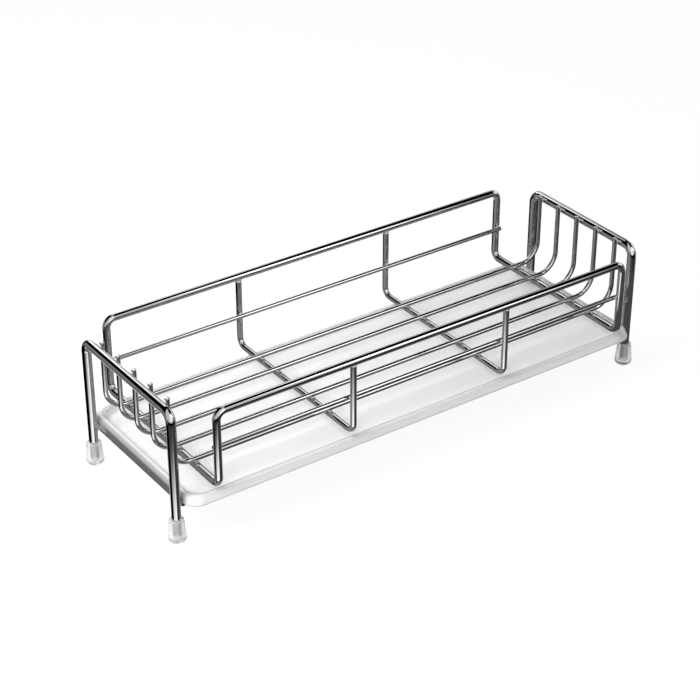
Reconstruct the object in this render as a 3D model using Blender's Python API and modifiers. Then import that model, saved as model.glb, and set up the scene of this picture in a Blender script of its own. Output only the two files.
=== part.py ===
"""Sink drainer: a welded wire rack with a basket hoop, two end frames and a slide-out drip tray.

Metres, +Z up. X runs along the rack, Y from its front to its back, and Z = 0 is the counter
that the four feet stand on. The origin is under the middle of the rack.
Every wire is a round rod bent on one radius. Welded rods lie WELD_GAP apart.
"""

import math

import bmesh
import bpy
from mathutils import Matrix, Vector

# End frames: an inverted U of the thickest wire at each end
RACK_LENGTH = 0.3600
FRAME_WIDTH = 0.1068
FRAME_TOP = 0.09185
FRAME_WIRE = 0.0060
FRAME_BEND = 0.0065

# Basket hoop: one closed wire with two top rails, four uprights and two floor bars
BASKET_LENGTH = 0.3154
BASKET_WIDTH = 0.1342
BASKET_TOP = 0.0924
BASKET_DEPTH = 0.0507
HOOP_WIRE = 0.0050
HOOP_BEND = 0.0060

# Ribs: two U wires across the basket, under its top rails
RIB_SPACING = 0.1174
RIB_WIRE = 0.0040
RIB_BEND = 0.0060

# Long wires: the basket floor, turned up at both ends against the end frames
LONG_WIRE_COUNT = 5
LONG_WIRE_PITCH = 0.01925
LONG_WIRE = 0.0032
LONG_WIRE_BEND = 0.0140
LONG_WIRE_TIP_RISE = 0.00055

# Side rails: one straight wire inside each long side of the basket
SIDE_RAIL_WIRE = 0.0030
SIDE_RAIL_HEIGHT = 0.0630
SIDE_RAIL_OVERHANG = 0.0007

# Tray bars: a straight wire between the two legs of each end frame
TRAY_BAR_WIRE = 0.0040
TRAY_BAR_TOP = 0.0267
TRAY_BAR_OVERHANG = 0.0004

# Drip tray: a shallow moulded sheet with a rolled rim whose lip turns down
TRAY_WIDTH = 0.1244
TRAY_HEIGHT = 0.0054
TRAY_WALL = 0.0010
TRAY_LEG_CLEARANCE = 0.0004
TRAY_LIP_LAND = 0.0008
TRAY_LIP_DRAFT = 0.0012
TRAY_RIM_WIDTH = 0.0040
TRAY_RIM_ROUND = 0.0012
TRAY_INNER_DRAFT = 0.0020
TRAY_FLOOR_ROUND = 0.0015
TRAY_CORNER = 0.0105
TRAY_INNER_CORNER = 0.0090

# Feet: soft caps pushed over the leg ends
FOOT_HEIGHT = 0.0157
FOOT_TOP_WIDTH = 0.0094
FOOT_WIDTH = 0.0115
FOOT_FLOOR = 0.0030
FOOT_BOTTOM_ROUND = 0.0032
FOOT_MOUTH_ROUND = 0.0007
FOOT_BORE_CLEARANCE = 0.0003

# Clearance left where one piece is welded to, or rests on, another
WELD_GAP = 0.0003

# How finely round forms are divided
WIRE_ROUNDNESS = 4
THIN_WIRE_ROUNDNESS = 3
BEND_STEPS = 8
FOOT_STEPS = 28
FOOT_ROUND_STEPS = 5
TRAY_CORNER_STEPS = 8
TRAY_ROUND_STEPS = 3
MERGE_DISTANCE = 0.00001

# Heights and places that follow from the sizes above
FRAME_X = (RACK_LENGTH - FRAME_WIRE) / 2
LEG_Y = (FRAME_WIDTH - FRAME_WIRE) / 2
FRAME_RAIL_Z = FRAME_TOP - FRAME_WIRE / 2
FRAME_INNER_FACE = FRAME_X - FRAME_WIRE / 2
LEG_END_Z = FOOT_FLOOR + WELD_GAP

HOOP_X = (BASKET_LENGTH - HOOP_WIRE) / 2
HOOP_Y = (BASKET_WIDTH - HOOP_WIRE) / 2
HOOP_RAIL_Z = BASKET_TOP - HOOP_WIRE / 2
HOOP_INNER_FACE = HOOP_Y - HOOP_WIRE / 2
BASKET_FLOOR_Z = BASKET_TOP - BASKET_DEPTH
HOOP_FLOOR_Z = BASKET_FLOOR_Z - HOOP_WIRE / 2

RIB_X = RIB_SPACING / 2
RIB_Y = HOOP_INNER_FACE + RIB_WIRE / 2
RIB_FLOOR_Z = BASKET_FLOOR_Z - RIB_WIRE / 2
RIB_END_Z = HOOP_RAIL_Z - HOOP_WIRE / 2 - WELD_GAP

LONG_WIRE_X = FRAME_INNER_FACE - WELD_GAP - LONG_WIRE / 2
LONG_WIRE_FLOOR_Z = BASKET_FLOOR_Z + WELD_GAP + LONG_WIRE / 2
LONG_WIRE_TIP_Z = FRAME_TOP + LONG_WIRE_TIP_RISE

SIDE_RAIL_Y = HOOP_INNER_FACE - WELD_GAP - SIDE_RAIL_WIRE / 2
SIDE_RAIL_END_X = HOOP_X + SIDE_RAIL_OVERHANG

TRAY_BAR_X = FRAME_INNER_FACE - WELD_GAP - TRAY_BAR_WIRE / 2
TRAY_BAR_END_Y = LEG_Y + TRAY_BAR_OVERHANG
TRAY_BAR_Z = TRAY_BAR_TOP - TRAY_BAR_WIRE / 2

TRAY_BASE_Z = TRAY_BAR_TOP + WELD_GAP
TRAY_HALF_LENGTH = FRAME_INNER_FACE - TRAY_LEG_CLEARANCE
TRAY_HALF_WIDTH = TRAY_WIDTH / 2

# Finishes: colour, metallic and roughness
FRAME_STEEL = ((0.78, 0.78, 0.80), 1.0, 0.12)
HOOP_STEEL = ((0.80, 0.80, 0.82), 1.0, 0.10)
RIB_STEEL = ((0.76, 0.76, 0.78), 1.0, 0.14)
LONG_WIRE_STEEL = ((0.77, 0.77, 0.79), 1.0, 0.14)
RAIL_STEEL = ((0.76, 0.76, 0.78), 1.0, 0.16)
FROSTED_PLASTIC = ((0.86, 0.87, 0.89), 0.0, 0.45)
SOFT_PLASTIC = ((0.72, 0.72, 0.72), 0.0, 0.50)


def clear_scene():
    """Start from an empty scene."""
    for thing in list(bpy.data.objects):
        bpy.data.objects.remove(thing, do_unlink=True)


def new_collection(name):
    """Make the collection that holds the drainer's pieces."""
    collection = bpy.data.collections.new(name)
    bpy.context.scene.collection.children.link(collection)
    return collection


def finish(name, colour, metallic, roughness):
    """Make one sub-part's material."""
    material = bpy.data.materials.new(name)
    material.use_nodes = True
    shader = material.node_tree.nodes["Principled BSDF"]
    shader.inputs["Base Color"].default_value = (*colour, 1.0)
    shader.inputs["Metallic"].default_value = metallic
    shader.inputs["Roughness"].default_value = roughness
    material.diffuse_color = (*colour, 1.0)
    return material


def add_piece(name, data, place, look):
    """Put a named sub-part in the drainer's collection with its own material."""
    piece = bpy.data.objects.new(name, data)
    piece.location = place
    data.materials.append(finish(name + "_finish", *look))
    drainer.objects.link(piece)
    piece.parent = rack_origin
    return piece


def bend(before, corner, after, radius):
    """Points of a round bend of this radius, in place of a sharp corner."""
    back = (before - corner).normalized()
    ahead = (after - corner).normalized()
    half_angle = back.angle(ahead) / 2
    setback = radius / math.tan(half_angle)
    centre = corner + (back + ahead).normalized() * (radius / math.sin(half_angle))
    start = corner + back * setback - centre
    turn = math.pi - 2 * half_angle
    axis = back.cross(ahead).normalized()
    points = []
    for step in range(BEND_STEPS + 1):
        swing = Matrix.Rotation(-turn * step / BEND_STEPS, 3, axis)
        points.append(centre + swing @ start)
    return points


def bent_wire_path(corners, radius):
    """Centre line of an open wire: straight runs joined by round bends."""
    corners = [Vector(corner) for corner in corners]
    points = [corners[0]]
    for before, corner, after in zip(corners, corners[1:], corners[2:]):
        points += bend(before, corner, after, radius)
    points.append(corners[-1])
    return points


def closed_wire_path(corners, radius):
    """Centre line of a wire whose ends are butt-welded into a loop."""
    corners = [Vector(corner) for corner in corners]
    points = []
    for index, corner in enumerate(corners):
        before = corners[index - 1]
        after = corners[(index + 1) % len(corners)]
        points += bend(before, corner, after, radius)
    return points


def add_wire(name, points, diameter, place, look, closed=False, roundness=WIRE_ROUNDNESS):
    """A round rod along a path given relative to its place."""
    curve = bpy.data.curves.new(name, "CURVE")
    curve.dimensions = "3D"
    curve.bevel_depth = diameter / 2
    curve.bevel_resolution = roundness
    curve.use_fill_caps = True
    spline = curve.splines.new("POLY")
    spline.points.add(len(points) - 1)
    for spline_point, (x, y, z) in zip(spline.points, points):
        spline_point.co = (x, y, z, 1.0)
    spline.use_cyclic_u = closed
    spline.use_smooth = True
    return add_piece(name, curve, place, look)


def build_end_frame(name, side):
    """Two legs and the rail between them, bent from one rod."""
    corners = [
        (0, -LEG_Y, LEG_END_Z),
        (0, -LEG_Y, FRAME_RAIL_Z),
        (0, LEG_Y, FRAME_RAIL_Z),
        (0, LEG_Y, LEG_END_Z),
    ]
    path = bent_wire_path(corners, FRAME_BEND)
    add_wire(name, path, FRAME_WIRE, (side * FRAME_X, 0, 0), FRAME_STEEL)


def build_basket_hoop():
    """Top rail along each long side, dropping at each end to a bar under the floor."""
    rise = HOOP_RAIL_Z - HOOP_FLOOR_Z
    corners = [
        (HOOP_X, -HOOP_Y, rise),
        (-HOOP_X, -HOOP_Y, rise),
        (-HOOP_X, -HOOP_Y, 0),
        (-HOOP_X, HOOP_Y, 0),
        (-HOOP_X, HOOP_Y, rise),
        (HOOP_X, HOOP_Y, rise),
        (HOOP_X, HOOP_Y, 0),
        (HOOP_X, -HOOP_Y, 0),
    ]
    path = closed_wire_path(corners, HOOP_BEND)
    add_wire("basket_hoop", path, HOOP_WIRE, (0, 0, HOOP_FLOOR_Z), HOOP_STEEL, closed=True)


def build_rib(name, side):
    """A U across the basket: its ends meet the undersides of the top rails."""
    rise = RIB_END_Z - RIB_FLOOR_Z
    corners = [(0, -RIB_Y, rise), (0, -RIB_Y, 0), (0, RIB_Y, 0), (0, RIB_Y, rise)]
    path = bent_wire_path(corners, RIB_BEND)
    add_wire(name, path, RIB_WIRE, (side * RIB_X, 0, RIB_FLOOR_Z), RIB_STEEL)


def build_long_wires():
    """The floor wires: each lies on the cross bars and turns up at both end frames."""
    rise = LONG_WIRE_TIP_Z - LONG_WIRE_FLOOR_Z
    corners = [
        (-LONG_WIRE_X, 0, rise),
        (-LONG_WIRE_X, 0, 0),
        (LONG_WIRE_X, 0, 0),
        (LONG_WIRE_X, 0, rise),
    ]
    path = bent_wire_path(corners, LONG_WIRE_BEND)
    for index in range(LONG_WIRE_COUNT):
        y = (index - (LONG_WIRE_COUNT - 1) / 2) * LONG_WIRE_PITCH
        place = (0, y, LONG_WIRE_FLOOR_Z)
        name = f"long_wire_{index + 1}"
        add_wire(name, path, LONG_WIRE, place, LONG_WIRE_STEEL, roundness=THIN_WIRE_ROUNDNESS)


def build_side_rail(name, side):
    """A straight rail welded to the inner faces of the hoop's uprights and the ribs."""
    path = [(-SIDE_RAIL_END_X, 0, 0), (SIDE_RAIL_END_X, 0, 0)]
    place = (0, side * SIDE_RAIL_Y, SIDE_RAIL_HEIGHT)
    add_wire(name, path, SIDE_RAIL_WIRE, place, RAIL_STEEL, roundness=THIN_WIRE_ROUNDNESS)


def build_tray_bar(name, side):
    """A bar between the legs of an end frame, which the drip tray rests on."""
    path = [(0, -TRAY_BAR_END_Y, 0), (0, TRAY_BAR_END_Y, 0)]
    add_wire(name, path, TRAY_BAR_WIRE, (side * TRAY_BAR_X, 0, TRAY_BAR_Z), RAIL_STEEL)


def rounded_rectangle(half_length, half_width, corner):
    """Points round a rectangle with round corners, anticlockwise from its right side."""
    centre_x = half_length - corner
    centre_y = half_width - corner
    centres = [(centre_x, centre_y), (-centre_x, centre_y), (-centre_x, -centre_y), (centre_x, -centre_y)]
    points = []
    for quarter, (x, y) in enumerate(centres):
        for step in range(TRAY_CORNER_STEPS + 1):
            angle = math.pi / 2 * (quarter + step / TRAY_CORNER_STEPS)
            points.append((x + corner * math.cos(angle), y + corner * math.sin(angle)))
    return points


def fillet(centre, radius, start, end, steps):
    """Points of a round edge in a section, with angles measured from the section's first axis."""
    across, up = centre
    points = []
    for step in range(steps + 1):
        angle = start + (end - start) * step / steps
        points.append((across + radius * math.cos(angle), up + radius * math.sin(angle)))
    return points


def tray_section():
    """Upper surface of the tray as (inset, height) pairs: up its lip, over its rim and down to its floor."""
    up = math.pi / 2
    rim_inner_edge = TRAY_LIP_DRAFT + TRAY_RIM_WIDTH
    lip_lean = math.atan2(TRAY_LIP_DRAFT, TRAY_HEIGHT - TRAY_LIP_LAND)
    wall_lean = math.atan2(TRAY_INNER_DRAFT, TRAY_HEIGHT - TRAY_WALL)
    rim_centre_z = TRAY_HEIGHT - TRAY_RIM_ROUND
    floor_centre_x = rim_inner_edge + TRAY_INNER_DRAFT + TRAY_FLOOR_ROUND * math.tan((up - wall_lean) / 2)
    section = [(0, 0), (0, TRAY_LIP_LAND)]
    outer_centre = (TRAY_LIP_DRAFT + TRAY_RIM_ROUND, rim_centre_z)
    section += fillet(outer_centre, TRAY_RIM_ROUND, math.pi - lip_lean, up, TRAY_ROUND_STEPS)
    inner_centre = (rim_inner_edge - TRAY_RIM_ROUND, rim_centre_z)
    section += fillet(inner_centre, TRAY_RIM_ROUND, up, wall_lean, TRAY_ROUND_STEPS)
    floor_centre = (floor_centre_x, TRAY_WALL + TRAY_FLOOR_ROUND)
    section += fillet(floor_centre, TRAY_FLOOR_ROUND, math.pi + wall_lean, 3 * up, TRAY_ROUND_STEPS)
    return section


def build_drip_tray():
    """The tray's upper skin, lofted ring by ring from its lip to its floor and given its wall."""
    shape = bmesh.new()
    section = tray_section()
    deepest = section[-1][0]
    outer = []
    for inset, height in section:
        corner = TRAY_CORNER + (TRAY_INNER_CORNER - TRAY_CORNER) * inset / deepest
        outline = rounded_rectangle(TRAY_HALF_LENGTH - inset, TRAY_HALF_WIDTH - inset, corner)
        ring = [shape.verts.new((x, y, height)) for x, y in outline]
        for index in range(len(outer)):
            shape.faces.new((outer[index - 1], outer[index], ring[index], ring[index - 1]))
        outer = ring
    shape.faces.new(outer)
    mesh = bpy.data.meshes.new("drip_tray")
    shape.to_mesh(mesh)
    shape.free()
    mesh.shade_smooth()
    tray = add_piece("drip_tray", mesh, (0, 0, TRAY_BASE_Z), FROSTED_PLASTIC)
    wall = tray.modifiers.new("wall", "SOLIDIFY")
    wall.thickness = TRAY_WALL
    wall.offset = -1.0
    wall.use_even_offset = True


def foot_profile():
    """Half section of a foot as (radius, height): up its bore, over its mouth and down outside."""
    bore = FRAME_WIRE / 2 + FOOT_BORE_CLEARANCE
    mouth_centre = (FOOT_TOP_WIDTH / 2 - FOOT_MOUTH_ROUND, FOOT_HEIGHT - FOOT_MOUTH_ROUND)
    heel_centre = (FOOT_WIDTH / 2 - FOOT_BOTTOM_ROUND, FOOT_BOTTOM_ROUND)
    profile = [(0, FOOT_FLOOR), (bore, FOOT_FLOOR), (bore, FOOT_HEIGHT)]
    profile += fillet(mouth_centre, FOOT_MOUTH_ROUND, math.pi / 2, 0, FOOT_ROUND_STEPS)
    profile += fillet(heel_centre, FOOT_BOTTOM_ROUND, 0, -math.pi / 2, FOOT_ROUND_STEPS)
    profile.append((0, 0))
    return profile


def build_foot(name, end, side):
    """A turned cap with a blind bore that the leg stands in."""
    mesh = bpy.data.meshes.new(name)
    profile = [(radius, 0, height) for radius, height in foot_profile()]
    mesh.from_pydata(profile, [(i, i + 1) for i in range(len(profile) - 1)], [])
    foot = add_piece(name, mesh, (end * FRAME_X, side * LEG_Y, 0), SOFT_PLASTIC)
    turned = foot.modifiers.new("turned", "SCREW")
    turned.axis = "Z"
    turned.angle = 2 * math.pi
    turned.steps = FOOT_STEPS
    turned.render_steps = FOOT_STEPS
    turned.use_merge_vertices = True
    turned.merge_threshold = MERGE_DISTANCE
    turned.use_smooth_shade = True


clear_scene()
drainer = new_collection("sink_drainer")
rack_origin = bpy.data.objects.new("rack_origin", None)
drainer.objects.link(rack_origin)

for frame_name, frame_side in (("left_end_frame", -1), ("right_end_frame", 1)):
    build_end_frame(frame_name, frame_side)
build_basket_hoop()
for rib_name, rib_side in (("left_rib", -1), ("right_rib", 1)):
    build_rib(rib_name, rib_side)
build_long_wires()
for rail_name, rail_side in (("front_side_rail", -1), ("back_side_rail", 1)):
    build_side_rail(rail_name, rail_side)
for bar_name, bar_side in (("left_tray_bar", -1), ("right_tray_bar", 1)):
    build_tray_bar(bar_name, bar_side)
build_drip_tray()
for foot_name, foot_end, foot_side in (
    ("foot_front_left", -1, -1),
    ("foot_front_right", 1, -1),
    ("foot_back_left", -1, 1),
    ("foot_back_right", 1, 1),
):
    build_foot(foot_name, foot_end, foot_side)
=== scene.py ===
import math

import bmesh
import bpy
from mathutils import Matrix, Vector, noise


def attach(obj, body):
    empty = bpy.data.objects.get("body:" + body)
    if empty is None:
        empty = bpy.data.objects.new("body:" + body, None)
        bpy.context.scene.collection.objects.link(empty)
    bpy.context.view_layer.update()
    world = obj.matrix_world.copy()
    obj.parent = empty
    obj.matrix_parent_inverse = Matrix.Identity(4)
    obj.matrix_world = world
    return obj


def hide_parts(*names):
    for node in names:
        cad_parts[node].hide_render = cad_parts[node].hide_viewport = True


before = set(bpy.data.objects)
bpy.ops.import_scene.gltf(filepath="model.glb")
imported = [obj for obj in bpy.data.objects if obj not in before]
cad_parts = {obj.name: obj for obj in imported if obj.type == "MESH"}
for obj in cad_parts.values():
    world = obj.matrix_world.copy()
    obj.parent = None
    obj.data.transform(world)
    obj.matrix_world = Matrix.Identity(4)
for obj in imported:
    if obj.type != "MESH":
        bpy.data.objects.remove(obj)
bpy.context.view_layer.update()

# Sizes, in metres, as in the solids

FRAME_X = 0.1770
LEG_Y = 0.0504
FRAME_RAIL_Z = 0.08885
LEG_END_Z = 0.0033
FRAME_ROD = 0.0060
FRAME_BEND = 0.0065

HOOP_X = 0.1552
HOOP_Y = 0.0646
HOOP_RAIL_Z = 0.0899
HOOP_FLOOR_Z = 0.0392
HOOP_ROD = 0.0050
HOOP_BEND = 0.0060

RIB_X = 0.0587
RIB_Y = 0.0641
RIB_FLOOR_Z = 0.0397
RIB_END_Z = 0.0871
RIB_ROD = 0.0040
RIB_BEND = 0.0060

LONG_WIRE_PITCH = 0.01925
LONG_WIRE_YS = [step * LONG_WIRE_PITCH for step in (-2, -1, 0, 1, 2)]
LONG_WIRE_END_X = 0.1721
LONG_WIRE_FLOOR_Z = 0.0436
LONG_WIRE_TIP_Z = 0.0924
LONG_WIRE = 0.0032
LONG_WIRE_BEND = 0.0140

SIDE_RAIL_END_X = 0.1559
SIDE_RAIL_Y = 0.0603
SIDE_RAIL_Z = 0.0630
SIDE_RAIL_WIRE = 0.0030

TRAY_BAR_X = 0.1717
TRAY_BAR_END_Y = 0.0508
TRAY_BAR_Z = 0.0247
TRAY_BAR_WIRE = 0.0040

TRAY_HALF_LENGTH = 0.1736
TRAY_HALF_WIDTH = 0.0622
TRAY_BASE_Z = 0.0270
TRAY_TOP_Z = 0.0324
TRAY_WALL = 0.0010
TRAY_CORNER = 0.0105
LIP_LAND = 0.0008
RIM_LEAN = 0.0012
RIM_ROUND = 0.0012
RIM_WIDTH = 0.0040
RIM_INNER_ROUND = 0.0006
INNER_LEAN = 0.0020
FLOOR_ROUND = 0.0015
FLOOR_ROUND_IN = 0.00105
FLOOR_EDGE = 0.0010
UNDER_RIM_IN = 0.0014
UNDER_CORNER_IN = 0.0002
UNDER_CORNER_UP = 0.0004

FOOT_HEIGHT = 0.0157
FOOT_TOP_RADIUS = 0.0047
FOOT_LOW_RADIUS = 0.00575
FOOT_FLOOR = 0.0030
FOOT_BOTTOM_ROUND = 0.0032
FOOT_MOUTH_ROUND = 0.0007
FOOT_BORE_RADIUS = 0.00306
FOOT_BORE_EDGE = 0.0003
FOOT_BORE_CORNER = 0.0004

# Where the weld beads lie, most of them in the middle of the gap between two rods
FRAME_WELD_X = (LONG_WIRE_END_X + LONG_WIRE / 2 + FRAME_X - FRAME_ROD / 2) / 2
FLOOR_WELD_Z = (HOOP_FLOOR_Z + HOOP_ROD / 2 + LONG_WIRE_FLOOR_Z - LONG_WIRE / 2) / 2
SIDE_WELD_Y = (SIDE_RAIL_Y + SIDE_RAIL_WIRE / 2 + HOOP_Y - HOOP_ROD / 2) / 2
RIB_WELD_Y = 0.0642
RIB_WELD_Z = (RIB_END_Z + HOOP_RAIL_Z - HOOP_ROD / 2) / 2
TIP_WELD_Z = 0.0893
TRAY_BAR_WELD_Y = 0.0495

# Half sizes of the weld beads
TIP_BEAD = (0.0008, 0.0013, 0.0019)
FLOOR_BEAD = (0.0016, 0.0016, 0.0006)
SIDE_RAIL_BEAD = (0.0015, 0.0006, 0.0015)
RIB_BEAD = (0.0023, 0.0022, 0.0008)
TRAY_BAR_BEAD = (0.0006, 0.0013, 0.0014)
BEAD_UNEVENNESS = 0.16
BEAD_LUMPS = 1.7
BEAD_CHANGE = 900.0

# Where painted reflections in the feet and painted shade on the tray's rim and end lips change, from one
# place to another along X, Y, Z or the tray's section
FOOT_PAINTED_REFLECTION_TOP = (FOOT_HEIGHT - 0.0009, FOOT_HEIGHT - 0.0003)
FOOT_PAINTED_REFLECTION_END = (FOOT_FLOOR + 0.0022, FOOT_FLOOR + 0.0034)
FOOT_PAINTED_REFLECTION_STRIPES = 6.0
# Painted shade lines along the lip's edge and the rim's inner edge
LIP_LINE = (-0.0004, 0.0005)
RIM_LINE = (0.0076, 0.0084)
LINE_FADE = 0.0003
# Where the painted shade of the bars lies on the end lips
END_LIP = (TRAY_HALF_LENGTH - 0.0090, TRAY_HALF_LENGTH - 0.0045)
BETWEEN_CORNERS = (TRAY_HALF_WIDTH - 0.0120, TRAY_HALF_WIDTH - 0.0040)
PAST_UNDERSIDE = (0.00001, 0.0001)
SHADE_UP_LIP = (0.0020, 0.0038)
SHADE_OVER_RIM = (0.0048, 0.0080)
SHADE_TO_BACK = (0.036, 0.046)

# How finely things are made

ROD_SIDES = 32
BEND_STEPS = 14
END_BEVEL = 0.00035
END_BEVEL_STEPS = 3
SHOULDER = 0.0008
ROUND_STEPS = 6
SMALL_ROUND_STEPS = 4
FOOT_STEPS = 64
TRAY_CORNER_STEPS = 14
BEAD_ROUNDNESS = 3
TENT_ROUNDNESS = 4
MERGE = 1e-6
FOOT_SHARP_ANGLE = math.radians(30)
TRAY_SHARP_ANGLE = math.radians(50)


# Metal rods

def rod_start(radius, point, heading):
    """A ring of edges across the rod's first point, with the place on a straight rod kept in 'rod'."""
    shape = bmesh.new()
    straight = shape.verts.layers.float_vector.new("rod")
    bmesh.ops.create_circle(shape, segments=ROD_SIDES, radius=radius)
    for vert in shape.verts:
        vert[straight] = Vector((0.0, vert.co.x, vert.co.y))
    turn = Vector((0, 0, 1)).rotation_difference(heading).to_matrix()
    bmesh.ops.rotate(shape, verts=shape.verts, cent=(0, 0, 0), matrix=turn)
    bmesh.ops.translate(shape, verts=shape.verts, vec=point)
    return shape, list(shape.edges)


def drawn_loop(shape, loop):
    """A loop of edges is drawn out once. Returns the new loop's vertices and edges, not yet moved."""
    drawn = bmesh.ops.extrude_edge_only(shape, edges=loop)["geom"]
    verts = [item for item in drawn if isinstance(item, bmesh.types.BMVert)]
    fresh = set(verts)
    edges = [item for item in drawn if isinstance(item, bmesh.types.BMEdge)]
    return verts, [edge for edge in edges if fresh.issuperset(edge.verts)]


def draw_on(shape, ring, length):
    """The ring is drawn out into a short length of rod. Returns the new ring's vertices and edges."""
    straight = shape.verts.layers.float_vector["rod"]
    verts, edges = drawn_loop(shape, ring)
    for vert in verts:
        vert[straight] = vert[straight] + Vector((length, 0.0, 0.0))
    return verts, edges


def run_rod(shape, ring, heading, length):
    """A straight run of rod."""
    verts, ring = draw_on(shape, ring, length)
    bmesh.ops.translate(shape, verts=verts, vec=heading * length)
    return ring


def bend_rod(shape, ring, centre, axis, angle, radius):
    """A bend, turned in even steps round its centre."""
    step = angle / BEND_STEPS
    turn = Matrix.Rotation(step, 3, axis)
    for _ in range(BEND_STEPS):
        verts, ring = draw_on(shape, ring, radius * step)
        bmesh.ops.rotate(shape, verts=verts, cent=centre, matrix=turn)
    return ring


def cut_end(shape, ring):
    """The end of a cropped rod, with its sharp edge taken off."""
    cap = bmesh.ops.edgeloop_fill(shape, edges=ring)["faces"]
    edges = list({edge for face in cap for edge in face.edges})
    bmesh.ops.bevel(shape, geom=edges, offset=END_BEVEL, segments=END_BEVEL_STEPS, profile=0.5,
                    affect="EDGES", material=-1)


def bent_rod(name, corners, width, bend, closed=False):
    """A rod bent to the given radius at every inner corner of its line. A closed one starts half way
    along its last stretch. A short shoulder behind each cut end keeps the straight sides evenly shaded."""
    points = [Vector(corner) for corner in corners]
    if closed:
        middle = (points[-1] + points[0]) / 2
        points = [middle] + points + [middle]
    headings = [(after - before).normalized() for before, after in zip(points, points[1:])]
    shape, first = rod_start(width / 2, points[0], headings[0])
    ring = first
    reached = points[0]
    if not closed:
        ring = run_rod(shape, ring, headings[0], SHOULDER)
        reached = points[0] + headings[0] * SHOULDER
    for i in range(1, len(points) - 1):
        heading, onward = headings[i - 1], headings[i]
        angle = heading.angle(onward)
        setback = bend * math.tan(angle / 2)
        ring = run_rod(shape, ring, heading, (points[i] - reached).length - setback)
        inward = (onward - heading * heading.dot(onward)).normalized()
        centre = points[i] - heading * setback + inward * bend
        ring = bend_rod(shape, ring, centre, heading.cross(onward), angle, bend)
        reached = points[i] + onward * setback
    last = (points[-1] - reached).length
    if closed:
        run_rod(shape, ring, headings[-1], last)
        bmesh.ops.remove_doubles(shape, verts=shape.verts, dist=MERGE)
    else:
        ring = run_rod(shape, ring, headings[-1], last - SHOULDER)
        ring = run_rod(shape, ring, headings[-1], SHOULDER)
        cut_end(shape, first)
        cut_end(shape, ring)
    return finished(name, shape)


def placed(name, shape):
    """The shape becomes an object of the scene."""
    mesh = bpy.data.meshes.new(name)
    shape.to_mesh(mesh)
    shape.free()
    piece = bpy.data.objects.new(name, mesh)
    bpy.context.scene.collection.objects.link(piece)
    return piece


def finished(name, shape, sharp_angle=None):
    """The shape becomes a piece, its faces outwards and shaded smooth up to its sharp edges."""
    bmesh.ops.recalc_face_normals(shape, faces=shape.faces)
    for face in shape.faces:
        face.smooth = True
    for edge in shape.edges:
        edge.smooth = sharp_angle is None or edge.calc_face_angle(0) < sharp_angle
    return placed(name, shape)


def dress(piece, material, body, slot, *nodes):
    """Gives a piece its finish, its body and the solids it stands for. Its slot in the record is not used.
    """
    piece.data.materials.append(material)
    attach(piece, body)
    if nodes:
        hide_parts(*nodes)
    return piece


# Node helpers

def new_material(name, kind="ShaderNodeBsdfPrincipled"):
    """A material with its output and one shader, a Principled one unless another kind is named."""
    material = bpy.data.materials.new(name)
    material.use_nodes = True
    tree = material.node_tree
    tree.nodes.clear()
    output = tree.nodes.new("ShaderNodeOutputMaterial")
    shader = tree.nodes.new(kind)
    tree.links.new(shader.outputs[0], output.inputs["Surface"])
    return material, tree, shader


def new_group(name, inputs, outputs):
    """A shader node group with named inputs, each with its first value, and named outputs."""
    tree = bpy.data.node_groups.new(name, "ShaderNodeTree")
    for label, kind, value in inputs:
        socket = tree.interface.new_socket(label, in_out="INPUT", socket_type=kind)
        if value is not None:
            socket.default_value = value
    for label, kind in outputs:
        tree.interface.new_socket(label, in_out="OUTPUT", socket_type=kind)
    return tree, tree.nodes.new("NodeGroupInput"), tree.nodes.new("NodeGroupOutput")


def place_group(tree, group, values):
    """A node group placed in a material with its own values."""
    node = tree.nodes.new("ShaderNodeGroup")
    node.node_tree = group
    for label, value in values.items():
        node.inputs[label].default_value = value
    return node


def math_node(tree, operation, first, second=None, clamp=False):
    """One sum on one or two values, each a number or a socket. Returns the result's socket."""
    node = tree.nodes.new("ShaderNodeMath")
    node.operation = operation
    node.use_clamp = clamp
    for i, value in enumerate((first, second)):
        if isinstance(value, (int, float)):
            node.inputs[i].default_value = value
        elif value is not None:
            tree.links.new(value, node.inputs[i])
    return node.outputs[0]


def stretched(tree, vector, scale):
    """The pattern's coordinates, stretched by a Mapping node."""
    node = tree.nodes.new("ShaderNodeMapping")
    node.inputs["Scale"].default_value = scale
    tree.links.new(vector, node.inputs["Vector"])
    return node.outputs["Vector"]


def noise_node(tree, vector, scale, detail=2.0, roughness=0.5):
    """A noise pattern's value. The scale is a number or a socket."""
    node = tree.nodes.new("ShaderNodeTexNoise")
    node.inputs["Detail"].default_value = detail
    node.inputs["Roughness"].default_value = roughness
    tree.links.new(vector, node.inputs["Vector"])
    if isinstance(scale, (int, float)):
        node.inputs["Scale"].default_value = scale
    else:
        tree.links.new(scale, node.inputs["Scale"])
    return node.outputs["Fac"]


def spread(tree, value, low, high, new_low=0.0, new_high=1.0):
    """A value spread smoothly over a new range."""
    node = tree.nodes.new("ShaderNodeMapRange")
    node.interpolation_type = "SMOOTHSTEP"
    node.inputs["From Min"].default_value = low
    node.inputs["From Max"].default_value = high
    node.inputs["To Min"].default_value = new_low
    node.inputs["To Max"].default_value = new_high
    tree.links.new(value, node.inputs["Value"])
    return node.outputs["Result"]


def colour_between(tree, mask, first, second):
    """A colour between two, by a mask. Each is a colour or a socket."""
    node = tree.nodes.new("ShaderNodeMix")
    node.data_type = "RGBA"
    for label, colour in (("A", first), ("B", second)):
        if isinstance(colour, tuple):
            node.inputs[label].default_value = (*colour, 1.0)
        else:
            tree.links.new(colour, node.inputs[label])
    tree.links.new(mask, node.inputs["Factor"])
    return node.outputs["Result"]


def apart(tree, vector):
    """The three parts of a vector, as sockets named X, Y and Z."""
    node = tree.nodes.new("ShaderNodeSeparateXYZ")
    tree.links.new(vector, node.inputs["Vector"])
    return node.outputs


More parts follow.
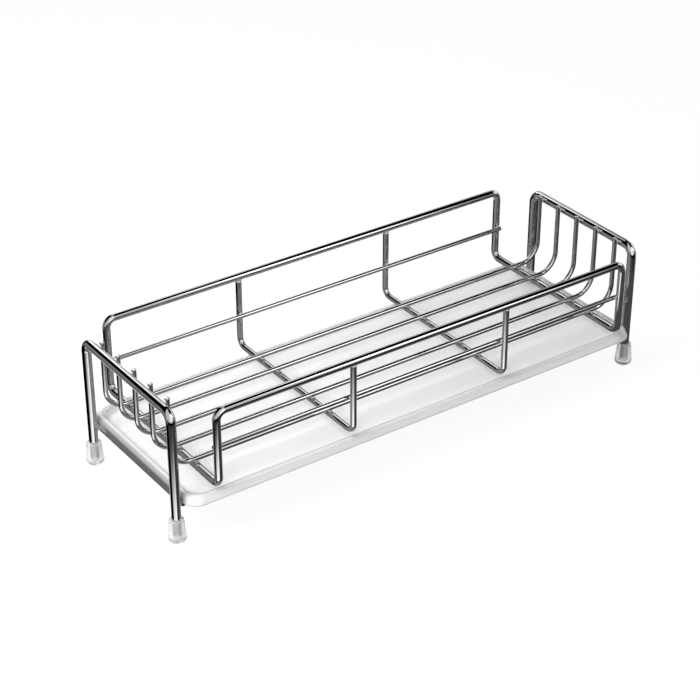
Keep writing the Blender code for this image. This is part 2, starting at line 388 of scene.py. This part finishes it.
def bumped(tree, height, distance, strength, shader):
    """A Bump node that feeds the shader's normal."""
    node = tree.nodes.new("ShaderNodeBump")
    node.inputs["Distance"].default_value = distance
    node.inputs["Strength"].default_value = strength
    tree.links.new(height, node.inputs["Height"])
    tree.links.new(node.outputs["Normal"], shader.inputs["Normal"])


# Effects that several finishes share

VECTOR = "NodeSocketVector"
VALUE = "NodeSocketFloat"


def make_drawn_lines():
    """Fine lines along a drawn and polished rod."""
    tree, given, result = new_group(
        "drawn_lines",
        [("Rod", VECTOR, None), ("Fineness", VALUE, 900.0)],
        [("Lines", VALUE), ("Ripple", VALUE)],
    )
    along = stretched(tree, given.outputs["Rod"], (0.02, 1.0, 1.0))
    lines = noise_node(tree, along, given.outputs["Fineness"], 3.0, 0.6)
    slow = stretched(tree, given.outputs["Rod"], (0.35, 1.0, 1.0))
    ripple = noise_node(tree, slow, 70.0, 1.0, 0.4)
    tree.links.new(lines, result.inputs["Lines"])
    tree.links.new(ripple, result.inputs["Ripple"])
    return tree


def make_handling_haze():
    """Faint smears from handling and drying."""
    tree, given, result = new_group(
        "handling_haze",
        [("Place", VECTOR, None), ("Smear size", VALUE, 38.0)],
        [("Smears", VALUE)],
    )
    smear = noise_node(tree, given.outputs["Place"], given.outputs["Smear size"], 4.0, 0.6)
    tree.links.new(spread(tree, smear, 0.45, 0.75), result.inputs["Smears"])
    return tree


def make_joint_haze():
    """Dull plating close to a weld."""
    tree, given, result = new_group(
        "joint_haze",
        [("Distance", VALUE, 1.0), ("Reach", VALUE, 0.0035)],
        [("Haze", VALUE)],
    )
    near = math_node(tree, "DIVIDE", given.outputs["Distance"], given.outputs["Reach"])
    tree.links.new(spread(tree, near, 0.3, 1.0, 1.0, 0.0), result.inputs["Haze"])
    return tree


drawn_lines = make_drawn_lines()
handling_haze = make_handling_haze()
joint_haze = make_joint_haze()


# Finishes

def joint_distance(tree, place, axis, joints):
    """How far a point is from the nearest joint along an axis, either side of the middle."""
    outward = math_node(tree, "ABSOLUTE", apart(tree, place)[axis])
    nearest = None
    for joint in joints:
        away = math_node(tree, "ABSOLUTE", math_node(tree, "SUBTRACT", outward, joint))
        nearest = away if nearest is None else math_node(tree, "MINIMUM", nearest, away)
    return nearest


def painted_reflection_in_foot(tree, place, rod, colour):
    """The leg's end where the foot covers it: painted reflections in dark and light stripes round its
    sides, and painted pale below.
    """
    height = apart(tree, place)["Z"]
    covered = spread(tree, height, *FOOT_PAINTED_REFLECTION_TOP, 1.0, 0.0)
    parts = apart(tree, rod)
    round_it = math_node(tree, "ARCTAN2", parts["Z"], parts["Y"])
    stripes = math_node(tree, "COSINE", math_node(tree, "MULTIPLY", round_it, FOOT_PAINTED_REFLECTION_STRIPES))
    stripes = spread(tree, stripes, -0.7, 0.9)
    # Painted reflection: dark and light stripes round the leg's sides
    painted_bands = colour_between(tree, stripes, (0.03, 0.03, 0.031), (0.46, 0.46, 0.465))
    low = spread(tree, height, *FOOT_PAINTED_REFLECTION_END, 1.0, 0.0)
    # Painted pale low down inside the foot
    painted_bands = colour_between(tree, low, painted_bands, (0.80, 0.80, 0.80))
    return colour_between(tree, covered, colour, painted_bands)


def polished_steel(name, clean, dull, fineness, ripple, axis, joints, legs=False):
    """Bright chrome on drawn rod: fine lengthwise lines, faint smears, dull spots at the joints, and on
    the legs painted reflections inside the feet.
    """
    material, tree, shader = new_material(name)
    shader.inputs["Metallic"].default_value = 1.0
    place = tree.nodes.new("ShaderNodeTexCoord").outputs["Object"]
    rod = tree.nodes.new("ShaderNodeAttribute")
    rod.attribute_name = "rod"
    lines = place_group(tree, drawn_lines, {"Fineness": fineness})
    tree.links.new(rod.outputs["Vector"], lines.inputs["Rod"])
    smears = place_group(tree, handling_haze, {"Smear size": 42.0})
    tree.links.new(place, smears.inputs["Place"])
    haze = place_group(tree, joint_haze, {"Reach": 0.0034})
    tree.links.new(joint_distance(tree, place, axis, joints), haze.inputs["Distance"])
    smeared = math_node(tree, "MULTIPLY", smears.outputs["Smears"], 0.45)
    hazed = math_node(tree, "MULTIPLY", haze.outputs["Haze"], 0.5)
    lined = math_node(tree, "MULTIPLY", lines.outputs["Lines"], 0.25)
    wear = math_node(tree, "ADD", math_node(tree, "MAXIMUM", smeared, hazed), lined, clamp=True)
    colour = colour_between(tree, wear, clean, dull)
    # On the legs, painted reflections where the feet cover them
    if legs:
        colour = painted_reflection_in_foot(tree, place, rod.outputs["Vector"], colour)
    tree.links.new(colour, shader.inputs["Base Color"])
    tree.links.new(spread(tree, wear, 0.0, 1.0, 0.045, 0.17), shader.inputs["Roughness"])
    fine = math_node(tree, "MULTIPLY", lines.outputs["Lines"], 0.15)
    slow = math_node(tree, "MULTIPLY", lines.outputs["Ripple"], ripple)
    bumped(tree, math_node(tree, "ADD", fine, slow), 0.00003, 0.14, shader)
    return material


def weld_metal():
    """A small bead of plated weld: duller and uneven."""
    material, tree, shader = new_material("plated_weld")
    shader.inputs["Metallic"].default_value = 0.5
    place = tree.nodes.new("ShaderNodeTexCoord").outputs["Object"]
    lumps = noise_node(tree, place, 900.0, 3.0, 0.6)
    colour = colour_between(tree, lumps, (0.60, 0.60, 0.61), (0.84, 0.84, 0.84))
    tree.links.new(colour, shader.inputs["Base Color"])
    tree.links.new(spread(tree, lumps, 0.2, 0.8, 0.18, 0.36), shader.inputs["Roughness"])
    bumped(tree, lumps, 0.0003, 0.5, shader)
    return material


def along_section(tree):
    """How far a point is over the lip and rim from the lip's edge. It stays 0 on the underside."""
    node = tree.nodes.new("ShaderNodeAttribute")
    node.attribute_name = "section"
    return node.outputs["Fac"]


def section_line(tree, section, start, stop):
    """A line along the tray's rim, between two distances over its section."""
    after = spread(tree, section, start - LINE_FADE, start)
    before = spread(tree, section, stop, stop + LINE_FADE, 1.0, 0.0)
    return math_node(tree, "MULTIPLY", after, before)


def painted_rim_shade_lines(tree, section, colour):
    """Painted shade lines: the underside, the lip's cut edge and the rim's inner edge are darker."""
    colour = colour_between(tree, section_line(tree, section, *LIP_LINE), colour, (0.55, 0.55, 0.56))
    return colour_between(tree, section_line(tree, section, *RIM_LINE), colour, (0.62, 0.62, 0.63))


def painted_bar_shade(tree, place, section, colour):
    """Painted shade on the end lips, standing in for the bars that they rest on seen through the frosted
    plastic: darker low down and to the front, and fading over the rim."""
    parts = apart(tree, place)
    end = spread(tree, math_node(tree, "ABSOLUTE", parts["X"]), *END_LIP)
    between = spread(tree, math_node(tree, "ABSOLUTE", parts["Y"]), *BETWEEN_CORNERS, 1.0, 0.0)
    over = spread(tree, section, *SHADE_OVER_RIM, 1.0, 0.0)
    outside = spread(tree, section, *PAST_UNDERSIDE)
    shade = math_node(tree, "MULTIPLY", math_node(tree, "MULTIPLY", end, between), over)
    shade = math_node(tree, "MULTIPLY", shade, outside)
    up = spread(tree, section, *SHADE_UP_LIP)
    back = spread(tree, parts["Y"], *SHADE_TO_BACK, 0.0, 0.7)
    paler = math_node(tree, "MAXIMUM", up, back)
    # Painted shade: dark low on the lip, paler up it and towards the back
    grey = colour_between(tree, paler, (0.10, 0.10, 0.102), (0.33, 0.33, 0.335))
    return colour_between(tree, shade, colour, grey)


def frosted_plastic():
    """The tray's frosted moulding: satin, milky, with a very fine grain and faint flow marks, and painted
    shade along its rim's edges and on its end lips.
    """
    material, tree, shader = new_material("frosted_tray_plastic")
    shader.inputs["IOR"].default_value = 1.40
    shader.inputs["Transmission Weight"].default_value = 0.60
    place = tree.nodes.new("ShaderNodeTexCoord").outputs["Object"]
    haze = place_group(tree, handling_haze, {"Smear size": 22.0})
    tree.links.new(place, haze.inputs["Place"])
    flow = noise_node(tree, stretched(tree, place, (1.0, 4.0, 4.0)), 9.0, 2.0, 0.5)
    flow = math_node(tree, "MULTIPLY", flow, 0.6)
    smears = math_node(tree, "MULTIPLY", haze.outputs["Smears"], 0.3)
    milk = math_node(tree, "ADD", flow, smears, clamp=True)
    colour = colour_between(tree, milk, (0.985, 0.986, 0.99), (0.955, 0.957, 0.962))
    section = along_section(tree)
    # Painted shade lines along the rim, then painted shade of the bars on the end lips
    colour = painted_rim_shade_lines(tree, section, colour)
    colour = painted_bar_shade(tree, place, section, colour)
    tree.links.new(colour, shader.inputs["Base Color"])
    tree.links.new(spread(tree, haze.outputs["Smears"], 0.0, 1.0, 0.30, 0.38), shader.inputs["Roughness"])
    grain = noise_node(tree, place, 2600.0, 2.0, 0.6)
    bumped(tree, grain, 0.00006, 0.35, shader)
    return material


def soft_plastic():
    """The feet's soft clear plastic: milky and satin, with faint streaks down its sides."""
    material, tree, shader = new_material("soft_foot_plastic")
    shader.inputs["IOR"].default_value = 1.40
    shader.inputs["Transmission Weight"].default_value = 0.80
    place = tree.nodes.new("ShaderNodeTexCoord").outputs["Object"]
    haze = place_group(tree, handling_haze, {"Smear size": 160.0})
    tree.links.new(place, haze.inputs["Place"])
    streaks = noise_node(tree, stretched(tree, place, (1.0, 1.0, 0.15)), 700.0, 2.0, 0.5)
    smears = math_node(tree, "MULTIPLY", haze.outputs["Smears"], 0.5)
    streaked = math_node(tree, "MULTIPLY", streaks, 0.4)
    milk = math_node(tree, "ADD", smears, streaked, clamp=True)
    colour = colour_between(tree, milk, (0.84, 0.84, 0.845), (0.76, 0.76, 0.765))
    tree.links.new(colour, shader.inputs["Base Color"])
    tree.links.new(spread(tree, milk, 0.0, 1.0, 0.09, 0.18), shader.inputs["Roughness"])
    bumped(tree, streaks, 0.00008, 0.3, shader)
    return material


floor_joints = LONG_WIRE_YS[2:]
cross_joints = (RIB_X, HOOP_X)
# The frame's legs get painted reflections inside the feet
frame_chrome = polished_steel(
    "frame_chrome", clean=(0.72, 0.72, 0.725), dull=(0.60, 0.60, 0.61),
    fineness=800.0, ripple=0.30, axis="Y", joints=floor_joints, legs=True)
hoop_chrome = polished_steel(
    "hoop_chrome", clean=(0.73, 0.73, 0.735), dull=(0.61, 0.61, 0.62),
    fineness=900.0, ripple=0.30, axis="Y", joints=floor_joints)
rib_chrome = polished_steel(
    "rib_chrome", clean=(0.71, 0.71, 0.715), dull=(0.58, 0.58, 0.59),
    fineness=1000.0, ripple=0.25, axis="Y", joints=floor_joints)
wire_chrome = polished_steel(
    "wire_chrome", clean=(0.71, 0.71, 0.715), dull=(0.58, 0.58, 0.59),
    fineness=1200.0, ripple=0.25, axis="X", joints=cross_joints)
bead_metal = weld_metal()
tray_plastic = frosted_plastic()
foot_plastic = soft_plastic()


# End frames: one thick rod bent over two corners, its ends are the legs

for side, x in (("left", -FRAME_X), ("right", FRAME_X)):
    line = [
        (x, -LEG_Y, LEG_END_Z),
        (x, -LEG_Y, FRAME_RAIL_Z),
        (x, LEG_Y, FRAME_RAIL_Z),
        (x, LEG_Y, LEG_END_Z),
    ]
    rod = bent_rod(f"{side}_end_frame_rod", line, FRAME_ROD, FRAME_BEND)
    dress(rod, frame_chrome, "rack", "frame_steel", f"{side}_end_frame")


# Basket hoop: one closed rod, top rails along the sides and a bar under the floor at each end

hoop_line = [
    (HOOP_X, -HOOP_Y, HOOP_RAIL_Z),
    (HOOP_X, -HOOP_Y, HOOP_FLOOR_Z),
    (HOOP_X, HOOP_Y, HOOP_FLOOR_Z),
    (HOOP_X, HOOP_Y, HOOP_RAIL_Z),
    (-HOOP_X, HOOP_Y, HOOP_RAIL_Z),
    (-HOOP_X, HOOP_Y, HOOP_FLOOR_Z),
    (-HOOP_X, -HOOP_Y, HOOP_FLOOR_Z),
    (-HOOP_X, -HOOP_Y, HOOP_RAIL_Z),
]
hoop = bent_rod("basket_hoop_rod", hoop_line, HOOP_ROD, HOOP_BEND, closed=True)
dress(hoop, hoop_chrome, "rack", "hoop_steel", "basket_hoop")

# Ribs: U wires across the basket

for side, x in (("left", -RIB_X), ("right", RIB_X)):
    line = [
        (x, -RIB_Y, RIB_END_Z),
        (x, -RIB_Y, RIB_FLOOR_Z),
        (x, RIB_Y, RIB_FLOOR_Z),
        (x, RIB_Y, RIB_END_Z),
    ]
    rib = bent_rod(f"{side}_rib_wire", line, RIB_ROD, RIB_BEND)
    dress(rib, rib_chrome, "rack", "rib_steel", f"{side}_rib")

# Long wires: the basket floor, turned up at both ends

for number, y in enumerate(LONG_WIRE_YS, 1):
    line = [
        (-LONG_WIRE_END_X, y, LONG_WIRE_TIP_Z),
        (-LONG_WIRE_END_X, y, LONG_WIRE_FLOOR_Z),
        (LONG_WIRE_END_X, y, LONG_WIRE_FLOOR_Z),
        (LONG_WIRE_END_X, y, LONG_WIRE_TIP_Z),
    ]
    wire = bent_rod(f"floor_wire_{number}", line, LONG_WIRE, LONG_WIRE_BEND)
    dress(wire, wire_chrome, "rack", "thin_wire_steel", f"long_wire_{number}")

# Side rails and tray bars: straight wires

for side, y in (("front", -SIDE_RAIL_Y), ("back", SIDE_RAIL_Y)):
    line = [(-SIDE_RAIL_END_X, y, SIDE_RAIL_Z), (SIDE_RAIL_END_X, y, SIDE_RAIL_Z)]
    rail = bent_rod(f"{side}_side_rail_wire", line, SIDE_RAIL_WIRE, 0)
    dress(rail, wire_chrome, "rack", "thin_wire_steel", f"{side}_side_rail")

for side, x in (("left", -TRAY_BAR_X), ("right", TRAY_BAR_X)):
    line = [(x, -TRAY_BAR_END_Y, TRAY_BAR_Z), (x, TRAY_BAR_END_Y, TRAY_BAR_Z)]
    bar = bent_rod(f"{side}_tray_bar_wire", line, TRAY_BAR_WIRE, 0)
    dress(bar, rib_chrome, "rack", "rib_steel", f"{side}_tray_bar")


# Weld beads

def add_bead(shape, spot, half_size):
    """One small lump of weld, a little uneven."""
    lump = bmesh.ops.create_icosphere(shape, subdivisions=BEAD_ROUNDNESS, radius=1.0)["verts"]
    change = Vector(spot) * BEAD_CHANGE
    for vert in lump:
        vert.co *= 1.0 + BEAD_UNEVENNESS * noise.noise(vert.co * BEAD_LUMPS + change)
    bmesh.ops.scale(shape, verts=lump, vec=half_size)
    bmesh.ops.translate(shape, verts=lump, vec=spot)


def weld_beads(name, spots, half_size, slot):
    """The beads of one kind of joint, as one piece."""
    shape = bmesh.new()
    for spot in spots:
        add_bead(shape, spot, half_size)
    return dress(finished(name, shape), bead_metal, "rack", slot)


BOTH = (-1, 1)
CROSSINGS = [end * x for end in BOTH for x in (HOOP_X, RIB_X)]

tip_spots = [(end * FRAME_WELD_X, y, TIP_WELD_Z) for end in BOTH for y in LONG_WIRE_YS]
weld_beads("tip_welds", tip_spots, TIP_BEAD, "thin_wire_steel")
floor_spots = [(x, y, FLOOR_WELD_Z) for x in CROSSINGS for y in LONG_WIRE_YS]
weld_beads("floor_welds", floor_spots, FLOOR_BEAD, "thin_wire_steel")
rail_spots = [(x, side * SIDE_WELD_Y, SIDE_RAIL_Z) for x in CROSSINGS for side in BOTH]
weld_beads("side_rail_welds", rail_spots, SIDE_RAIL_BEAD, "thin_wire_steel")
rib_spots = [(end * RIB_X, side * RIB_WELD_Y, RIB_WELD_Z) for end in BOTH for side in BOTH]
weld_beads("rib_welds", rib_spots, RIB_BEAD, "rib_steel")
bar_spots = [(end * FRAME_WELD_X, side * TRAY_BAR_WELD_Y, TRAY_BAR_Z) for end in BOTH for side in BOTH]
weld_beads("tray_bar_welds", bar_spots, TRAY_BAR_BEAD, "rib_steel")


# Feet: soft caps pushed over the leg ends

def arc(centre, radius, start, stop, steps):
    """Points of an arc in a section, from one angle to another, in degrees."""
    points = []
    for i in range(steps + 1):
        turn = math.radians(start + (stop - start) * i / steps)
        points.append((centre[0] + radius * math.cos(turn), centre[1] + radius * math.sin(turn)))
    return points


def foot_profile():
    """Half the foot's section, from the middle of its sole round its outside and into its bore."""
    low = (FOOT_LOW_RADIUS - FOOT_BOTTOM_ROUND, FOOT_BOTTOM_ROUND)
    mouth = (FOOT_TOP_RADIUS - FOOT_MOUTH_ROUND, FOOT_HEIGHT - FOOT_MOUTH_ROUND)
    points = [(0.0, 0.0)]
    points += arc(low, FOOT_BOTTOM_ROUND, -90, 0, ROUND_STEPS)
    points += arc(mouth, FOOT_MOUTH_ROUND, 0, 90, ROUND_STEPS)
    points += [
        (FOOT_BORE_RADIUS + FOOT_BORE_EDGE, FOOT_HEIGHT),
        (FOOT_BORE_RADIUS, FOOT_HEIGHT - FOOT_BORE_EDGE),
        (FOOT_BORE_RADIUS, FOOT_FLOOR + FOOT_BORE_CORNER),
        (FOOT_BORE_RADIUS - FOOT_BORE_CORNER, FOOT_FLOOR),
        (0.0, FOOT_FLOOR),
    ]
    return points


def turned_foot(name, x, y):
    """The foot's section spun round its leg."""
    shape = bmesh.new()
    verts = [shape.verts.new((x + across, y, up)) for across, up in foot_profile()]
    for before, after in zip(verts, verts[1:]):
        shape.edges.new((before, after))
    bmesh.ops.spin(shape, geom=shape.verts[:] + shape.edges[:], cent=(x, y, 0), axis=(0, 0, 1),
                   angle=math.tau, steps=FOOT_STEPS, use_merge=True)
    bmesh.ops.remove_doubles(shape, verts=shape.verts, dist=MERGE)
    return finished(name, shape, FOOT_SHARP_ANGLE)


for depth, y in (("front", -LEG_Y), ("back", LEG_Y)):
    for side, x in (("left", -FRAME_X), ("right", FRAME_X)):
        foot = turned_foot(f"{depth}_{side}_foot_cap", x, y)
        dress(foot, foot_plastic, "rack", "soft_clear_plastic", f"foot_{depth}_{side}")


# Drip tray: one thin moulding, its rim rolled over and down

def tray_section():
    """The tray's wall in section: how far inwards from the lip's edge, and how high. It goes up the
    outside of the lip, over the rim, down to the floor, and back under all of it."""
    rim_out = RIM_LEAN + RIM_ROUND
    rim_in = RIM_LEAN + RIM_WIDTH
    wall_foot = rim_in + INNER_LEAN
    floor_in = wall_foot + FLOOR_ROUND_IN
    floor_z = TRAY_BASE_Z + TRAY_WALL
    inner_top = (rim_in - RIM_INNER_ROUND, TRAY_TOP_Z - RIM_INNER_ROUND)
    under_z = TRAY_TOP_Z - TRAY_WALL - RIM_INNER_ROUND
    outside = [(0.0, TRAY_BASE_Z), (0.0, TRAY_BASE_Z + LIP_LAND)]
    outside += arc((rim_out, TRAY_TOP_Z - RIM_ROUND), RIM_ROUND, 170, 90, ROUND_STEPS)
    outside += arc(inner_top, RIM_INNER_ROUND, 90, 25, SMALL_ROUND_STEPS)
    outside += arc((floor_in, floor_z + FLOOR_ROUND), FLOOR_ROUND, 205, 270, ROUND_STEPS)
    outside += [(floor_in + FLOOR_EDGE, floor_z)]
    under = [(floor_in + FLOOR_EDGE, TRAY_BASE_Z), (floor_in, TRAY_BASE_Z)]
    under += [(wall_foot - UNDER_CORNER_IN, TRAY_BASE_Z + UNDER_CORNER_UP)]
    under += arc((rim_in - UNDER_RIM_IN, under_z), RIM_INNER_ROUND, 25, 90, SMALL_ROUND_STEPS)
    under += arc((rim_out, under_z), RIM_INNER_ROUND, 90, 170, SMALL_ROUND_STEPS)
    under += [(TRAY_WALL, TRAY_BASE_Z + LIP_LAND), (TRAY_WALL, TRAY_BASE_Z)]
    return outside, under


def rounded_outline(shape):
    """The outline of the lip's lower edge, its corners rounded."""
    bmesh.ops.create_grid(shape, x_segments=1, y_segments=1, size=1.0)
    bmesh.ops.scale(shape, verts=shape.verts, vec=(TRAY_HALF_LENGTH, TRAY_HALF_WIDTH, 1.0))
    bmesh.ops.translate(shape, verts=shape.verts, vec=(0, 0, TRAY_BASE_Z))
    bmesh.ops.bevel(shape, geom=shape.verts[:], offset=TRAY_CORNER, segments=TRAY_CORNER_STEPS,
                    profile=0.5, affect="VERTICES", material=-1)
    bmesh.ops.delete(shape, geom=shape.faces[:], context="FACES_ONLY")
    return list(shape.edges)


def step_in(shape, loop, before, after, reached):
    """The outline is drawn on to the next point of the section. Its distance from the lip's edge is
    kept in 'section'."""
    verts, edges = drawn_loop(shape, loop)
    section = shape.verts.layers.float["section"]
    for vert in verts:
        vert[section] = reached
    across = (TRAY_HALF_LENGTH - after[0]) / (TRAY_HALF_LENGTH - before[0])
    deep = (TRAY_HALF_WIDTH - after[0]) / (TRAY_HALF_WIDTH - before[0])
    bmesh.ops.scale(shape, verts=verts, vec=(across, deep, 1.0))
    bmesh.ops.translate(shape, verts=verts, vec=(0, 0, after[1] - before[1]))
    return edges


def moulded_tray():
    """The tray's two skins, drawn in from the lip's edge, and closed over the floor."""
    shape = bmesh.new()
    shape.verts.layers.float.new("section")
    edge = rounded_outline(shape)
    outside, under = tray_section()
    for points in (outside, [outside[0]] + under[::-1]):
        loop = edge
        reached = 0.0
        for before, after in zip(points, points[1:]):
            reached += math.dist(before, after) if points is outside else 0.0
            loop = step_in(shape, loop, before, after, reached)
        bmesh.ops.edgeloop_fill(shape, edges=loop)
    return finished("frosted_drip_tray", shape, TRAY_SHARP_ANGLE)


tray = dress(moulded_tray(), tray_plastic, "tray", "frosted_plastic", "drip_tray")
tray.visible_glossy = False


# Studio

TENT_RADIUS = 1.3
TENT_MIDDLE_Z = 0.06
WINDOW_SOFTNESS = 8.0
FLOOR_SHEET_Z = -0.001
FLOOR_Z = -0.0002
FLOOR_SIZE = 8.0


def make_soft_window():
    """A bright soft box on the studio tent, between two azimuths and two elevations in degrees."""
    tree, given, result = new_group(
        "soft_window",
        [
            ("Azimuth", VALUE, 0.0),
            ("Elevation", VALUE, 0.0),
            ("Azimuth from", VALUE, -10.0),
            ("Azimuth to", VALUE, 10.0),
            ("Elevation from", VALUE, -10.0),
            ("Elevation to", VALUE, 10.0),
            ("Softness", VALUE, WINDOW_SOFTNESS),
            ("Light", VALUE, 1.0),
        ],
        [("Light", VALUE)],
    )
    inside = given.outputs["Light"]
    for label in ("Azimuth", "Elevation"):
        for edge, sign in (("from", 1.0), ("to", -1.0)):
            away = math_node(tree, "SUBTRACT", given.outputs[label], given.outputs[f"{label} {edge}"])
            away = math_node(tree, "DIVIDE", away, given.outputs["Softness"])
            inside = math_node(tree, "MULTIPLY", inside, spread(tree, away, -0.5 * sign, 0.5 * sign))
    tree.links.new(inside, result.inputs["Light"])
    return tree


def seen_by_metal_only(piece, material):
    """Gives a stage piece its light and leaves it to the reflections in polished metal."""
    piece.data.materials.append(material)
    material.cycles.emission_sampling = "NONE"
    piece.visible_camera = False
    piece.visible_diffuse = False
    piece.visible_transmission = False
    piece.visible_shadow = False
    piece.visible_volume_scatter = False


def studio_tent(windows):
    """A dark studio round the rack, with soft bright windows. Each window lies between two azimuths
    and two elevations, in degrees, and has a brightness. Azimuth goes round from +X towards +Y, and
    elevation up from the horizon."""
    material, tree, surface = new_material("studio_tent", "ShaderNodeEmission")
    way = tree.nodes.new("ShaderNodeVectorMath")
    way.operation = "NORMALIZE"
    tree.links.new(tree.nodes.new("ShaderNodeTexCoord").outputs["Object"], way.inputs[0])
    parts = apart(tree, way.outputs["Vector"])
    azimuth = math_node(tree, "DEGREES", math_node(tree, "ARCTAN2", parts["Y"], parts["X"]))
    elevation = math_node(tree, "DEGREES", math_node(tree, "ARCSINE", parts["Z"]))
    soft_window = make_soft_window()
    light = 0.0
    for west, east, low, high, brightness in windows:
        values = {"Azimuth from": west, "Azimuth to": east, "Elevation from": low, "Elevation to": high,
                  "Light": brightness}
        window = place_group(tree, soft_window, values)
        tree.links.new(azimuth, window.inputs["Azimuth"])
        tree.links.new(elevation, window.inputs["Elevation"])
        light = math_node(tree, "ADD", window.outputs["Light"], light)
    tree.links.new(light, surface.inputs["Strength"])
    shape = bmesh.new()
    bmesh.ops.create_icosphere(shape, subdivisions=TENT_ROUNDNESS, radius=TENT_RADIUS)
    tent = placed("studio_tent", shape)
    tent.location.z = TENT_MIDDLE_Z
    seen_by_metal_only(tent, material)


def floor_sheet(name, low, high, brightness):
    """A flat sheet on the studio floor, between two corners, that only polished metal mirrors: painted
    shade of the floor in the metal's reflections.
    """
    material, tree, surface = new_material(name, "ShaderNodeEmission")
    surface.inputs["Strength"].default_value = brightness
    shape = bmesh.new()
    bmesh.ops.create_grid(shape, x_segments=1, y_segments=1, size=0.5)
    bmesh.ops.scale(shape, verts=shape.verts, vec=(high[0] - low[0], high[1] - low[1], 1.0))
    sheet = placed(name, shape)
    sheet.location = ((low[0] + high[0]) / 2, (low[1] + high[1]) / 2, FLOOR_SHEET_Z)
    seen_by_metal_only(sheet, material)


studio_tent([
    (-123, -46, 4, 52, 0.62),  # in front
    (-62, -46, 21, 50, 2.2),  # front right
    (70, 96, 24, 44, 1.5),  # high behind
    (70, 85, 44, 53, 1.5),
    (56, 70, 36, 53, 1.4),
    (35, 85, 13, 31, 0.80),  # back right
    (54, 79, -20, 5, 1.5),
    (28, 118, -77, -35, 1.2),  # low behind
    (-180, -20, -50, -22, 0.05),  # low in front
    (-168, -102, -46, -30.6, 1.35),  # low front left
    (-33, 30, 3, 33, 0.95),  # right
    (-30, 30, -22, -6, 0.40),
    (-200, 200, 81, 110, 0.70),  # overhead
    (-200, 200, -100, -55, 0.24),  # under the rack
    (-200, -81, -4, 83, 0.66),  # tall, on the left and in front
    (114, 200, -21, 17, 0.24),  # back left
])
# Painted shade in the floor as the metal mirrors it: grey under the rack and its right end, darker by the
# right end
floor_sheet("painted_shade_floor_under_rack", (-0.165, -0.065), (0.060, 0.125), 0.28)
floor_sheet("painted_shade_floor_under_right_end", (0.060, -0.020), (0.190, 0.125), 0.24)
floor_sheet("painted_dark_floor_by_right_end", (0.060, -0.200), (0.260, -0.020), 0.08)


def seen_white(tree, share):
    """The share of pure white light in what the camera, metal and glass see."""
    path = tree.nodes.new("ShaderNodeLightPath")
    seen = math_node(tree, "ADD", path.outputs["Is Camera Ray"], path.outputs["Is Glossy Ray"])
    seen = math_node(tree, "ADD", seen, path.outputs["Is Transmission Ray"], clamp=True)
    return math_node(tree, "MULTIPLY", seen, share)


def pale_floor():
    """A wide pale floor that keeps a soft shadow of the rack."""
    shape = bmesh.new()
    bmesh.ops.create_grid(shape, x_segments=1, y_segments=1, size=FLOOR_SIZE / 2)
    floor = placed("pale_floor", shape)
    floor.location.z = FLOOR_Z
    floor.visible_glossy = False
    material, tree, shader = new_material("pale_floor")
    shader.inputs["Base Color"].default_value = (0.93, 0.93, 0.93, 1.0)
    shader.inputs["Roughness"].default_value = 0.9
    shader.inputs["Specular IOR Level"].default_value = 0.0
    white = tree.nodes.new("ShaderNodeEmission")
    blend = tree.nodes.new("ShaderNodeMixShader")
    tree.links.new(seen_white(tree, 0.92), blend.inputs["Fac"])
    tree.links.new(shader.outputs["BSDF"], blend.inputs[1])
    tree.links.new(white.outputs["Emission"], blend.inputs[2])
    output = [node for node in tree.nodes if node.type == "OUTPUT_MATERIAL"][0]
    tree.links.new(blend.outputs["Shader"], output.inputs["Surface"])
    floor.data.materials.append(material)


def studio_air(level):
    """Even light from all round. The camera, metal and glass see it white."""
    world = bpy.data.worlds.new("studio_air")
    bpy.context.scene.world = world
    world.use_nodes = True
    tree = world.node_tree
    tree.nodes.clear()
    output = tree.nodes.new("ShaderNodeOutputWorld")
    lit = tree.nodes.new("ShaderNodeBackground")
    lit.inputs["Strength"].default_value = level
    seen = tree.nodes.new("ShaderNodeBackground")
    blend = tree.nodes.new("ShaderNodeMixShader")
    tree.links.new(seen_white(tree, 1.0), blend.inputs["Fac"])
    tree.links.new(lit.outputs["Background"], blend.inputs[1])
    tree.links.new(seen.outputs["Background"], blend.inputs[2])
    for node in (lit, seen):
        node.inputs["Color"].default_value = (1.0, 1.0, 1.0, 1.0)
    tree.links.new(blend.outputs["Shader"], output.inputs["Surface"])


def soft_lamp(name, place, aim, size, power):
    """A square soft lamp turned towards a point. Polished metal mirrors the studio, not the lamp."""
    light = bpy.data.lights.new(name, "AREA")
    light.size = size
    light.energy = power
    lamp = bpy.data.objects.new(name, light)
    bpy.context.scene.collection.objects.link(lamp)
    lamp.location = place
    lamp.rotation_euler = (Vector(aim) - Vector(place)).to_track_quat("-Z", "Y").to_euler()
    lamp.visible_glossy = False
    lamp.visible_camera = False


pale_floor()
studio_air(0.64)
soft_lamp("overhead_soft_lamp", (-0.58, 0.04, 0.62), (-0.12, 0, 0.03), 0.6, 12.8)

camera_data = bpy.data.cameras.new("photo_camera")
camera_data.lens = 99.13
camera_data.sensor_width = 36.0
camera_data.clip_start = 0.01
camera = bpy.data.objects.new("photo_camera", camera_data)
bpy.context.scene.collection.objects.link(camera)
camera.location = (-0.62674, -0.86610, 0.68437)
camera.rotation_euler = (math.radians(59.169), 0.0, math.radians(-35.188))
bpy.context.scene.camera = camera
bpy.context.scene.view_settings.view_transform = "Standard"
